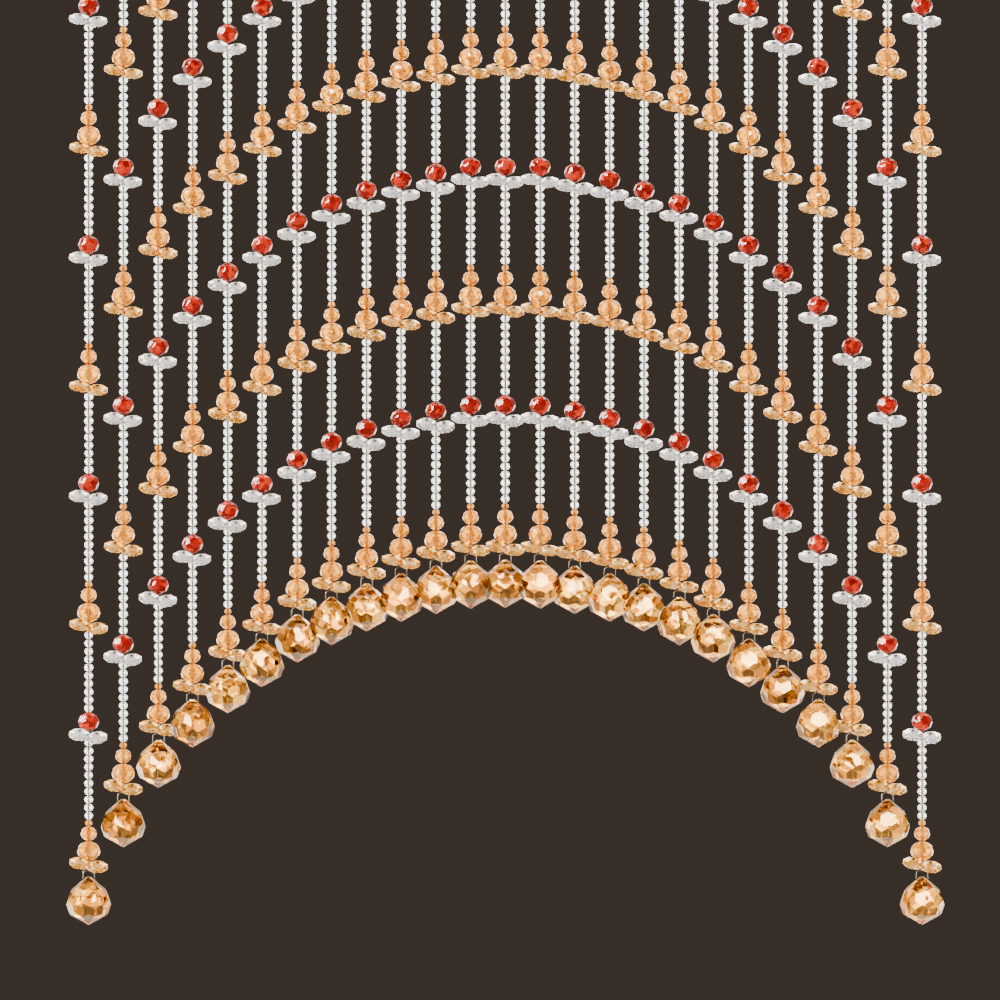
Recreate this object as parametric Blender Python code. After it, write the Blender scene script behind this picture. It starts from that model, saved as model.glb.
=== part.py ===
"""Bead curtain: strings of cut glass beads that hang from a narrow tape, each ending in a faceted ball.

The lower edge rises to an arch in the middle. The origin is the middle of the tape's top edge, +Z is up,
X runs along the tape and -Y is the front. Sizes are in metres.
"""

import math
from collections import namedtuple

import bmesh
import bpy
from mathutils import Matrix, Vector

MM = 0.001

# Tape that the strings are sewn to
STRING_COUNT = 25
STRING_PITCH = 31.25 * MM
TAPE_HEIGHT = 20 * MM
TAPE_THICKNESS = 2.6 * MM
TAPE_END = 13 * MM

# Length of the middle string from the tape's lower edge to the foot of its ball
SHORTEST_STRING = 581.6 * MM

# One row for each place from the middle string outwards, the same to the left and to the right:
# how much longer the string is than the middle one, and how far its ball stands in front of or behind
# the tape, because balls and discs are wider than the pitch and push their neighbours apart
Place = namedtuple("Place", "longer_mm aside_mm")
ARCH = (
    Place(0.0, 14.6),
    Place(0.5, 14.6),
    Place(5.6, 14.6),
    Place(12.2, 14.6),
    Place(21.4, 14.6),
    Place(33.3, 14.6),
    Place(49.3, 14.6),
    Place(70.9, 14.2),
    Place(95.0, 13.1),
    Place(125.1, 12.0),
    Place(162.2, 9.3),
    Place(215.1, 3.3),
    Place(285.1, 0.0),
)

# Clear bead, and how many of them lie between two ornaments
BEAD_HALF_WIDTH = 4.6 * MM
BEAD_HEIGHT = 7.3 * MM
BEADS_IN_RUN = 10

# Gourd: three amber beads over a pair of discs
SMALL_HEIGHT = 5.6 * MM
MIDDLE_HEIGHT, MIDDLE_HALF_WIDTH = 13.4 * MM, 7.2 * MM
LARGE_HEIGHT, LARGE_HALF_WIDTH = 18.1 * MM, 10.3 * MM
GOURD_SEAT = 7.65 * MM
GOURD_HEIGHT = SMALL_HEIGHT + MIDDLE_HEIGHT + LARGE_HEIGHT + GOURD_SEAT

# Flower: a red bead over a pair of discs
RED_HEIGHT, RED_HALF_WIDTH = 17.2 * MM, 9.2 * MM
FLOWER_SEAT = 6.7 * MM
FLOWER_HEIGHT = RED_HEIGHT + FLOWER_SEAT

NECK_HALF_WIDTH = 3.3 * MM
THREAD_HALF_WIDTH = 0.8 * MM
THREAD_IN_TAPE = 5 * MM

# Pair of discs, the left one higher and further back, both with the front edge dipped
DISC_REACH = 17.2 * MM
DISC_MIDDLE = 8.2 * MM
DISC_HALF_DEPTH = 8.8 * MM
DISC_HALF_HEIGHT = 3.2 * MM
DISC_TIP_HALF_DEPTH = 3.9 * MM
DISC_STEP = 1.6 * MM
DISC_SETBACK = 3.25 * MM
DISC_DIP = math.radians(18)

# Wire ring that joins a string to its ball, and the eye at the string's end, between the last discs
WIRE_RADIUS = 0.5 * MM
EYE_INSET = 2 * MM
EYE_HALF_WIDTH = 1.5 * MM
EYE_HEIGHT = 3.6 * MM
EYE_TAPER = 0.8 * MM
DRILL_HALF_WIDTH = 0.85 * MM
WIRE_REST = 0.32 * MM

# Faceted ball, hung from a hole drilled across its tip
BALL_HEIGHT = 43.2 * MM
BALL_RADIUS = 20 * MM
BALL_FOLDS = 8
BALL_HOLE_DEPTH = 2.4 * MM
BALL_HOLE_RADIUS = 1.0 * MM
RING_DROP = 6.5 * MM

# Rows of facets ground round the ball, from its tip down: how far they look up, how far they lie from
# the ball's middle, and whether the row is turned by half a facet
FacetRow = namedtuple("FacetRow", "looks_up_deg distance_mm turned")
BALL_FACETS = (
    FacetRow(48, 18.4, True),
    FacetRow(20, 18.2, False),
    FacetRow(-18, 18.3, True),
    FacetRow(-60, 17.4, False),
)

COLOURS = {
    "tape": (0.85, 0.82, 0.76, 1.0),
    "clear": (0.93, 0.95, 0.97, 1.0),
    "amber": (0.86, 0.62, 0.36, 1.0),
    "red": (0.75, 0.02, 0.01, 1.0),
    "steel": (0.72, 0.72, 0.70, 1.0),
}

# Material slots of the tape and its strings
TAPE_SLOT, CLEAR_SLOT, AMBER_SLOT, RED_SLOT = range(4)


def new_collection(name):
    collection = bpy.data.collections.new(name)
    bpy.context.scene.collection.children.link(collection)
    return collection


def new_material(name, colour, roughness, metallic=0.0, transmission=0.0):
    material = bpy.data.materials.new(name)
    material.use_nodes = True
    shader = material.node_tree.nodes["Principled BSDF"]
    shader.inputs["Base Color"].default_value = colour
    shader.inputs["Roughness"].default_value = roughness
    shader.inputs["Metallic"].default_value = metallic
    shader.inputs["Transmission Weight"].default_value = transmission
    return material


def mesh_object(name, bm, collection, materials=()):
    """An object of the bmesh, with its faces turned outwards."""
    bmesh.ops.recalc_face_normals(bm, faces=bm.faces)
    mesh = bpy.data.meshes.new(name)
    bm.to_mesh(mesh)
    bm.free()
    for material in materials:
        mesh.materials.append(material)
    obj = bpy.data.objects.new(name, mesh)
    collection.objects.link(obj)
    return obj


def as_tool(obj):
    obj.hide_render = True
    obj.display_type = "WIRE"
    return obj


def string_length(place):
    return SHORTEST_STRING + ARCH[abs(place)].longer_mm * MM


def string_frame(place):
    """The string's own frame: its origin is where it leaves the tape, and its ball stands aside in turn."""
    aside = ARCH[abs(place)].aside_mm * MM
    side = 1 if place % 2 == 0 else -1
    lean = math.asin(side * aside / (string_length(place) - BALL_HEIGHT / 2))
    anchor = Matrix.Translation((place * STRING_PITCH, 0, -TAPE_HEIGHT))
    return anchor @ Matrix.Rotation(lean, 4, "X")


def ornaments(length):
    """(kind, height of its foot) up one string, gourd and flower in turn, as far as they fit."""
    found = []
    foot = -length + BALL_HEIGHT + RING_DROP
    kinds = (("gourd", GOURD_HEIGHT), ("flower", FLOWER_HEIGHT))
    while True:
        kind, height = kinds[len(found) % 2]
        if foot + height > 0:
            return found
        found.append((kind, foot))
        foot += height + BEADS_IN_RUN * BEAD_HEIGHT


def gourd_sections(foot):
    """(height, half width) down a gourd, to the seat of its discs."""
    seat = foot + GOURD_SEAT
    large = seat + LARGE_HEIGHT
    middle = large + MIDDLE_HEIGHT
    return (
        (middle, BEAD_HALF_WIDTH),
        (large + MIDDLE_HEIGHT / 2, MIDDLE_HALF_WIDTH),
        (large, NECK_HALF_WIDTH),
        (seat + 0.7 * LARGE_HEIGHT, 0.93 * LARGE_HALF_WIDTH),
        (seat + 0.28 * LARGE_HEIGHT, 0.93 * LARGE_HALF_WIDTH),
        (seat, BEAD_HALF_WIDTH),
    )


def flower_sections(foot):
    seat = foot + FLOWER_SEAT
    return (
        (seat + RED_HEIGHT, BEAD_HALF_WIDTH),
        (seat + RED_HEIGHT / 2, RED_HALF_WIDTH),
        (seat, BEAD_HALF_WIDTH),
    )


def extrude_down(bm, face, height, half):
    """Extrudes a level square face down to a height, where it has that half width. Returns the new face."""
    grown = bmesh.ops.extrude_face_region(bm, geom=[face])["geom"]
    end = next(item for item in grown if isinstance(item, bmesh.types.BMFace))
    bmesh.ops.delete(bm, geom=[face], context="FACES_ONLY")
    for vert in end.verts:
        vert.co = (math.copysign(half, vert.co.x), math.copysign(half, vert.co.y), height)
    return end


def grow_disc(bm, face, side, level):
    """Extrudes one side face of the seat into a disc: out to its middle, then to its thin tip."""
    dip = Matrix.Rotation(DISC_DIP, 3, "X")
    centre = Vector((side * DISC_MIDDLE, -side * DISC_SETBACK, level - side * DISC_STEP))
    for reach, depth, height in (
        (DISC_MIDDLE, DISC_HALF_DEPTH, DISC_HALF_HEIGHT),
        (DISC_REACH, DISC_TIP_HALF_DEPTH, 0),
    ):
        grown = bmesh.ops.extrude_face_region(bm, geom=[face])["geom"]
        end = next(item for item in grown if isinstance(item, bmesh.types.BMFace))
        bmesh.ops.delete(bm, geom=[face], context="FACES_ONLY")
        middle = end.calc_center_median()
        for vert in end.verts:
            away = vert.co - middle
            corner = Vector((0, math.copysign(depth, away.y), math.copysign(height, away.z)))
            vert.co = centre + dip @ corner
            vert.co.x = side * reach
        face = end


def colour_string(string, found):
    """Gives the faces of each ornament its colour's slot, and all the others that of the clear beads."""
    for face in string.faces:
        level = face.calc_center_median().z
        face.material_index = CLEAR_SLOT
        for kind, foot in found:
            height = GOURD_HEIGHT if kind == "gourd" else FLOWER_HEIGHT
            if foot - DISC_STEP < level < foot + height:
                is_red = kind == "flower" and level > foot + FLOWER_SEAT
                face.material_index = AMBER_SLOT if kind == "gourd" else RED_SLOT if is_red else CLEAR_SLOT


def add_string(bm, place):
    """One string with its beads, ornaments and end eye, as a square bar of their outline."""
    string = bmesh.new()
    length = string_length(place)
    found = ornaments(length)
    kind, foot = found[-1]
    top = foot + (GOURD_HEIGHT if kind == "gourd" else FLOWER_HEIGHT)
    bare = -top % BEAD_HEIGHT
    thread = Matrix.Translation((0, 0, (THREAD_IN_TAPE - bare) / 2)) @ Matrix.Diagonal(
        (2 * THREAD_HALF_WIDTH, 2 * THREAD_HALF_WIDTH, THREAD_IN_TAPE + bare, 1)
    )
    bmesh.ops.create_cube(string, size=1, matrix=thread)
    end = min(string.faces, key=lambda face: face.calc_center_median().z)
    end = extrude_down(string, end, -bare - EYE_TAPER, BEAD_HALF_WIDTH)
    for kind, foot in reversed(found):
        sections = gourd_sections(foot) if kind == "gourd" else flower_sections(foot)
        for height, half in sections:
            end = extrude_down(string, end, height, half)
        seat = sections[-1][0]
        last = foot == found[0][1]
        known = set(string.faces)
        end = extrude_down(string, end, foot + EYE_INSET if last else foot, BEAD_HALF_WIDTH)
        sides = [face for face in string.faces if face not in known and face is not end]
        sides.sort(key=lambda face: face.calc_center_median().x)
        left, right = sides[0], sides[-1]
        grow_disc(string, left, -1, (seat + foot) / 2)
        grow_disc(string, right, 1, (seat + foot) / 2)
    end = extrude_down(string, end, foot + EYE_INSET - EYE_TAPER, EYE_HALF_WIDTH)
    extrude_down(string, end, foot + EYE_INSET - EYE_HEIGHT, EYE_HALF_WIDTH)
    bmesh.ops.remove_doubles(string, verts=string.verts, dist=0.01 * MM)
    colour_string(string, found)
    bmesh.ops.transform(string, matrix=string_frame(place), verts=string.verts)
    mesh = bpy.data.meshes.new("one_string")
    string.to_mesh(mesh)
    string.free()
    bm.from_mesh(mesh)
    bpy.data.meshes.remove(mesh)


def eye_level(place):
    """Height of the middle of the hole in the eye, half way down its straight part."""
    foot = ornaments(string_length(place))[0][1]
    return foot + EYE_INSET - (EYE_TAPER + EYE_HEIGHT) / 2


def build_strings(places, parts, tools, materials):
    """The tape with all the strings fused to it, and an eye drilled through each string's end."""
    bm = bmesh.new()
    width = (STRING_COUNT - 1) * STRING_PITCH + 2 * TAPE_END
    tape = Matrix.Translation((0, 0, -TAPE_HEIGHT / 2)) @ Matrix.Diagonal(
        (width, TAPE_THICKNESS, TAPE_HEIGHT, 1)
    )
    bmesh.ops.create_cube(bm, size=1, matrix=tape)
    curtain = mesh_object("tape_and_strings", bm, parts, materials)

    bm = bmesh.new()
    for place in places:
        add_string(bm, place)
    strings = as_tool(mesh_object("strings_tool", bm, tools, materials))

    bm = bmesh.new()
    for place in places:
        drill = Matrix.Diagonal((8 * MM, 2 * DRILL_HALF_WIDTH, 2 * DRILL_HALF_WIDTH, 1))
        level = Matrix.Translation((0, 0, eye_level(place)))
        bmesh.ops.create_cube(bm, size=1, matrix=string_frame(place) @ level @ drill)
    drills = as_tool(mesh_object("eye_drills_tool", bm, tools))

    for tool, operation in ((strings, "UNION"), (drills, "DIFFERENCE")):
        modifier = curtain.modifiers.new(tool.name, "BOOLEAN")
        modifier.operation = operation
        modifier.solver = "EXACT"
        modifier.object = tool
    return curtain


def grind(bm, point, normal):
    """Cuts off what lies outside the plane, and closes the cut with a facet."""
    cut = bmesh.ops.bisect_plane(
        bm,
        geom=bm.verts[:] + bm.edges[:] + bm.faces[:],
        dist=0.001 * MM,
        plane_co=point,
        plane_no=normal,
        clear_outer=True,
    )
    rim = [item for item in cut["geom_cut"] if isinstance(item, bmesh.types.BMEdge)]
    bmesh.ops.contextual_create(bm, geom=rim)


def ball_mesh(parts, tools, amber):
    """Mesh of the faceted ball, ground from a block and drilled across. Its origin is the tip."""
    bm = bmesh.new()
    block = Matrix.Translation((0, 0, -BALL_HEIGHT / 2)) @ Matrix.Diagonal(
        (3 * BALL_RADIUS, 3 * BALL_RADIUS, BALL_HEIGHT, 1)
    )
    bmesh.ops.create_cube(bm, size=1, matrix=block)
    middle = Vector((0, 0, BALL_RADIUS - BALL_HEIGHT))
    half_facet = math.pi / BALL_FOLDS
    for row in BALL_FACETS:
        rise = math.radians(row.looks_up_deg)
        for fold in range(BALL_FOLDS):
            angle = 2 * half_facet * fold + (half_facet if row.turned else 0)
            level = Vector((math.cos(angle), math.sin(angle), 0)) * math.cos(rise)
            normal = level + Vector((0, 0, math.sin(rise)))
            grind(bm, middle + normal * row.distance_mm * MM, normal)
    ball = mesh_object("ball_blank", bm, parts, (amber,))

    bm = bmesh.new()
    across = Matrix.Translation((0, 0, -BALL_HOLE_DEPTH)) @ Matrix.Rotation(math.pi / 2, 4, "Y")
    bmesh.ops.create_cone(
        bm,
        cap_ends=True,
        segments=6,
        radius1=BALL_HOLE_RADIUS,
        radius2=BALL_HOLE_RADIUS,
        depth=40 * MM,
        matrix=across,
    )
    drill = as_tool(mesh_object("ball_drill_tool", bm, tools))
    modifier = ball.modifiers.new("hole", "BOOLEAN")
    modifier.operation = "DIFFERENCE"
    modifier.solver = "EXACT"
    modifier.object = drill
    graph = bpy.context.evaluated_depsgraph_get()
    mesh = bpy.data.meshes.new_from_object(ball.evaluated_get(graph))
    mesh.name = "faceted_ball"
    bpy.data.objects.remove(ball)
    return mesh


def build_ring(name, height, parts, steel):
    """A bent wire ring, closed, hung from the eye. Its origin is the middle of the upper bar."""
    curve = bpy.data.curves.new(name, "CURVE")
    curve.dimensions = "3D"
    curve.bevel_depth = WIRE_RADIUS
    curve.bevel_resolution = 0
    outline = (
        (1.9 * MM, 0),
        (5.0 * MM, -2.4 * MM),
        (5.7 * MM, 0.8 * MM - height),
        (5.3 * MM, -height),
    )
    spline = curve.splines.new("POLY")
    points = [(x, z) for x, z in outline] + [(-x, z) for x, z in reversed(outline)]
    spline.points.add(len(points) - 1)
    for point, (x, z) in zip(spline.points, points):
        point.co = (x, 0, z, 1)
    spline.use_cyclic_u = True
    curve.materials.append(steel)
    ring = bpy.data.objects.new(name, curve)
    parts.objects.link(ring)
    return ring


def main():
    for obj in list(bpy.data.objects):
        bpy.data.objects.remove(obj)
    parts = new_collection("bead_curtain")
    tools = new_collection("tools")
    tape = new_material("woven_tape", COLOURS["tape"], 0.9)
    clear = new_material("clear_glass", COLOURS["clear"], 0.05, transmission=0.9)
    amber = new_material("amber_glass", COLOURS["amber"], 0.05, transmission=0.8)
    red = new_material("red_glass", COLOURS["red"], 0.05, transmission=0.5)
    steel = new_material("steel_wire", COLOURS["steel"], 0.3, metallic=1.0)
    half = STRING_COUNT // 2
    places = range(-half, half + 1)
    build_strings(places, parts, tools, (tape, clear, amber, red))

    mesh = ball_mesh(parts, tools, amber)
    wire_in_eye = DRILL_HALF_WIDTH - WIRE_RADIUS - WIRE_REST
    wire_in_ball = BALL_HOLE_RADIUS * math.cos(math.pi / 6) - WIRE_RADIUS - WIRE_REST
    for number, place in enumerate(places, start=1):
        frame = string_frame(place)
        tip = -string_length(place) + BALL_HEIGHT
        upper = eye_level(place) - wire_in_eye
        lower = tip - BALL_HOLE_DEPTH + wire_in_ball
        ring = build_ring(f"ring_{number:02d}", upper - lower, parts, steel)
        ring.matrix_world = frame @ Matrix.Translation((0, 0, upper))
        ball = bpy.data.objects.new(f"ball_{number:02d}", mesh)
        ball.matrix_world = frame @ Matrix.Translation((0, 0, tip))
        parts.objects.link(ball)


main()
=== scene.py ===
"""Looks of the bead curtain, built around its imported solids.

Strings of cut glass hang from a sewn tape. Each has clear beads, and amber gourds and red flowers over
pairs of discs, and ends in a faceted ball in a wire ring. Sizes are in metres, and -Y is the front.
"""

import math
import random
from collections import namedtuple

import bpy
from mathutils import Matrix, Vector


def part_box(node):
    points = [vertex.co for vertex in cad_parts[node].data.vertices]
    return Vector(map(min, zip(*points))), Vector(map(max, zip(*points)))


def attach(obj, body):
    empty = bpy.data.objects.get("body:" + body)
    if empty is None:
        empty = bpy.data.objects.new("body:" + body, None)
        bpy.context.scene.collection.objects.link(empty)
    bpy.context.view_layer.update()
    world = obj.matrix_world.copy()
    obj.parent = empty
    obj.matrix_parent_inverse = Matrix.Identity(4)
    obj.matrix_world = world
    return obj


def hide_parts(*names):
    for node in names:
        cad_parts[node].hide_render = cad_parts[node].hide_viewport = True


bl_info = {
    "name": "Bead Curtain",
    "version": (1, 0, 0),
    "blender": (4, 5, 0),
    "location": "View3D > Sidebar > Bead Curtain",
    "description": "Dresses a curtain of glass beads: its strings, ornaments, faceted balls and tape",
    "category": "Add Mesh",
}

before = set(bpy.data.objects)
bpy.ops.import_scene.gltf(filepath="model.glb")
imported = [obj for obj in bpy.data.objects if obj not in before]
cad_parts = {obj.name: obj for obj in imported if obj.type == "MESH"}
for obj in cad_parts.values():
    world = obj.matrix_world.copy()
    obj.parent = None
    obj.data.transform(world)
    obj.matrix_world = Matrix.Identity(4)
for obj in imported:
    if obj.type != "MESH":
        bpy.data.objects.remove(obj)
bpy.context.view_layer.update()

MM = 0.001
STRING_COUNT = 25
STRING_PITCH = 31.25 * MM
SEED = 7

# Heights along a string as the solids have them
BEAD_HEIGHT = 7.3 * MM
BEADS_IN_RUN = 10
SMALL_HEIGHT = 5.6 * MM
MIDDLE_HEIGHT = 13.4 * MM
LARGE_HEIGHT = 18.1 * MM
GOURD_SEAT = 7.65 * MM
GOURD_HEIGHT = SMALL_HEIGHT + MIDDLE_HEIGHT + LARGE_HEIGHT + GOURD_SEAT
RED_HEIGHT = 17.2 * MM
FLOWER_SEAT = 6.7 * MM
FLOWER_HEIGHT = RED_HEIGHT + FLOWER_SEAT
BALL_HEIGHT = 43.2 * MM
RING_DROP = 6.5 * MM

# Half the thickness of a ring's wire, in the solids and as dressed
WIRE_RADIUS = 0.5 * MM
RING_WIRE_RADIUS = 0.36 * MM

# The width that polishing takes off the edges between facets
AMBER_EDGE = 0.15 * MM
RED_EDGE = 0.2 * MM
DISC_EDGE = 0.15 * MM
BALL_EDGE = 0.3 * MM

# A row of facets: how far they look up, how far they lie from the middle, and whether they are turned
# by half a facet. A round bead's distances are shares of its half width.
FacetRow = namedtuple("FacetRow", "looks_up_deg distance turned")
AMBER_FACETS = (
    FacetRow(66, 0.955, False),
    FacetRow(40, 0.965, True),
    FacetRow(13, 0.965, False),
    FacetRow(-13, 0.965, True),
    FacetRow(-40, 0.965, False),
    FacetRow(-66, 0.955, True),
)
RED_FACETS = (
    FacetRow(58, 0.93, False),
    FacetRow(20, 0.93, True),
    FacetRow(-20, 0.93, False),
    FacetRow(-58, 0.93, True),
)
RED_FOLDS = 8
RED_TURN = math.radians(-12)
BALL_RADIUS = 20 * MM
BALL_FOLDS = 8
BALL_FACETS = (
    FacetRow(48, 18.4 * MM, True),
    FacetRow(20, 18.2 * MM, False),
    FacetRow(-18, 18.3 * MM, True),
    FacetRow(-60, 17.4 * MM, False),
)


def linear(code):
    """A colour given as an sRGB hex value, in the linear values that Blender's sockets take."""
    shares = [int(code[i:i + 2], 16) / 255 for i in (1, 3, 5)]
    return tuple(c / 12.92 if c <= 0.04045 else ((c + 0.055) / 1.055) ** 2.4 for c in shares)


class CurtainSizes(bpy.types.PropertyGroup):
    bead_width: bpy.props.FloatProperty(
        name="Clear bead width",
        description="Across a clear bead",
        default=8.2 * MM,
        unit="LENGTH",
    )
    hole_radius: bpy.props.FloatProperty(
        name="Bead hole",
        description="Half the width of the hole through a bead",
        default=0.8 * MM,
        unit="LENGTH",
    )
    thread_radius: bpy.props.FloatProperty(
        name="Thread",
        description="Half the thickness of the thread",
        default=0.4 * MM,
        unit="LENGTH",
    )
    amber_width: bpy.props.FloatProperty(
        name="Largest amber bead",
        description="Across the lowest amber bead of a gourd",
        default=20.5 * MM,
        unit="LENGTH",
    )
    red_width: bpy.props.FloatProperty(
        name="Red bead width",
        description="Across a red bead",
        default=18.4 * MM,
        unit="LENGTH",
    )
    disc_length: bpy.props.FloatProperty(
        name="Disc length",
        description="From the threaded end of a disc to its tip",
        default=18.7 * MM,
        unit="LENGTH",
    )
    disc_thickness: bpy.props.FloatProperty(
        name="Disc thickness",
        description="Between the two flat tables of a disc",
        default=4.6 * MM,
        unit="LENGTH",
    )
    tape_height: bpy.props.FloatProperty(
        name="Tape height",
        description="Height of the folded tape",
        default=20 * MM,
        unit="LENGTH",
    )


def colour(name, description, code):
    """A colour that a user can change, with its default as an sRGB hex value."""
    return bpy.props.FloatVectorProperty(
        name=name, description=description, default=linear(code), subtype="COLOR", size=3, min=0, max=1
    )


class CurtainColours(bpy.types.PropertyGroup):
    clear: colour("Clear glass", "Tint of the clear beads and discs", "#DFE3EA")
    amber: colour("Amber beads", "Tint of the gourds and their discs", "#DC8A0C")
    ball: colour("Ball", "Tint of the faceted balls", "#ECC06A")
    red: colour("Red beads", "Tint of the red beads", "#7C0600")
    # Painted shade: the bore colour is near black, standing for the shade inside the discs' open holes
    bore: colour("Bores", "Colour inside the open holes of the discs", "#120F0D")
    # Painted shade: the grey of the bead cores stands for the shade inside their narrow holes
    core: colour("Bead cores", "Colour inside the holes of the clear beads", "#77767A")
    thread: colour("Thread", "Colour of the thread", "#A9A6A2")
    tape: colour("Tape", "Colour of the ribbon that the strings are sewn into", "#E9E2D4")
    wire: colour("Wire", "Colour of the nickel on the wire rings", "#B9B6B0")
    floor: colour("Floor", "Colour of the plain floor", "#E8DECD")


# Nodes and materials

GLASS_IOR = 1.52
WHITE = "#FFFFFF"
# A wave pattern of scale 1 repeats after this many metres
WAVE_PERIOD = 0.314


def add_node(tree, kind, settings=None, inputs=None):
    """Adds a node, sets its properties, and sets each input to a value or links it from a socket."""
    new = tree.nodes.new(kind)
    for name, value in (settings or {}).items():
        setattr(new, name, value)
    for name, value in (inputs or {}).items():
        if isinstance(value, bpy.types.NodeSocket):
            tree.links.new(value, new.inputs[name])
        else:
            new.inputs[name].default_value = value
    return new


def set_ramp(ramp, stops):
    """Gives a colour ramp its stops, each a place from 0 to 1 and a linear colour."""
    elements = ramp.color_ramp.elements
    while len(elements) < len(stops):
        elements.new(1.0)
    for element, (place, rgb) in zip(elements, stops):
        element.position = place
        element.color = (*rgb, 1.0)


def scaled(rgb, share):
    """A linear colour made this much darker or lighter."""
    return tuple(min(1.0, c * share) for c in rgb)


def mixed(rgb, other, share):
    """A linear colour moved by this share towards another."""
    return tuple(a + (b - a) * share for a, b in zip(rgb, other))


def plain_material(name, sockets):
    """A Principled material with these sockets set, and its node tree and shader."""
    made = bpy.data.materials.new(name)
    made.use_nodes = True
    shader = made.node_tree.nodes["Principled BSDF"]
    for socket, value in sockets.items():
        shader.inputs[socket].default_value = value
    return made, made.node_tree, shader


def glass(name, tints, patch, roughness, transmission, shine, painted_flashes=False):
    """Cut glass whose tint drifts, or flashes from cell to cell as painted light and shade, over patches of
    this size.

    Roughness is its least and most. Shine is the level of its highlights and the hex value of their tint.
    """
    level, glow = shine
    made, tree, shader = plain_material(
        name,
        {
            "IOR": GLASS_IOR,
            "Transmission Weight": transmission,
            "Specular IOR Level": level,
            "Specular Tint": (*linear(glow), 1.0),
        },
    )
    place = add_node(tree, "ShaderNodeTexCoord")
    # Painted light and shade: each cell takes a paler or deeper tint, standing for a facet lit or darkened
    # through another facet
    if painted_flashes:
        cells = add_node(
            tree,
            "ShaderNodeTexVoronoi",
            inputs={"Vector": place.outputs["Object"], "Scale": 1 / patch},
        )
        share = cells.outputs["Color"]
    else:
        drift = add_node(
            tree,
            "ShaderNodeTexNoise",
            inputs={"Vector": place.outputs["Object"], "Scale": 1 / patch, "Detail": 2.0},
        )
        share = drift.outputs["Fac"]
    ramp = add_node(tree, "ShaderNodeValToRGB", inputs={"Fac": share})
    set_ramp(ramp, tints)
    tree.links.new(ramp.outputs["Color"], shader.inputs["Base Color"])
    # Wheel marks are far finer than this, and are drawn 1.2 mm apart so that they show
    marks = add_node(
        tree,
        "ShaderNodeTexNoise",
        inputs={"Vector": place.outputs["Object"], "Scale": 1 / (1.2 * MM), "Detail": 3.0},
    )
    polish = add_node(
        tree,
        "ShaderNodeMapRange",
        inputs={"Value": marks.outputs["Fac"], "To Min": roughness[0], "To Max": roughness[1]},
    )
    tree.links.new(polish.outputs["Result"], shader.inputs["Roughness"])
    # The polishing felt rolls each facet a little, so a light fills only a part of it
    roll = add_node(
        tree,
        "ShaderNodeTexNoise",
        inputs={"Vector": place.outputs["Object"], "Scale": 1 / patch, "Detail": 0.0},
    )
    bump = add_node(
        tree,
        "ShaderNodeBump",
        inputs={"Height": roll.outputs["Fac"], "Strength": 1.0, "Distance": 0.05 * patch},
    )
    tree.links.new(bump.outputs["Normal"], shader.inputs["Normal"])
    return made


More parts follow.
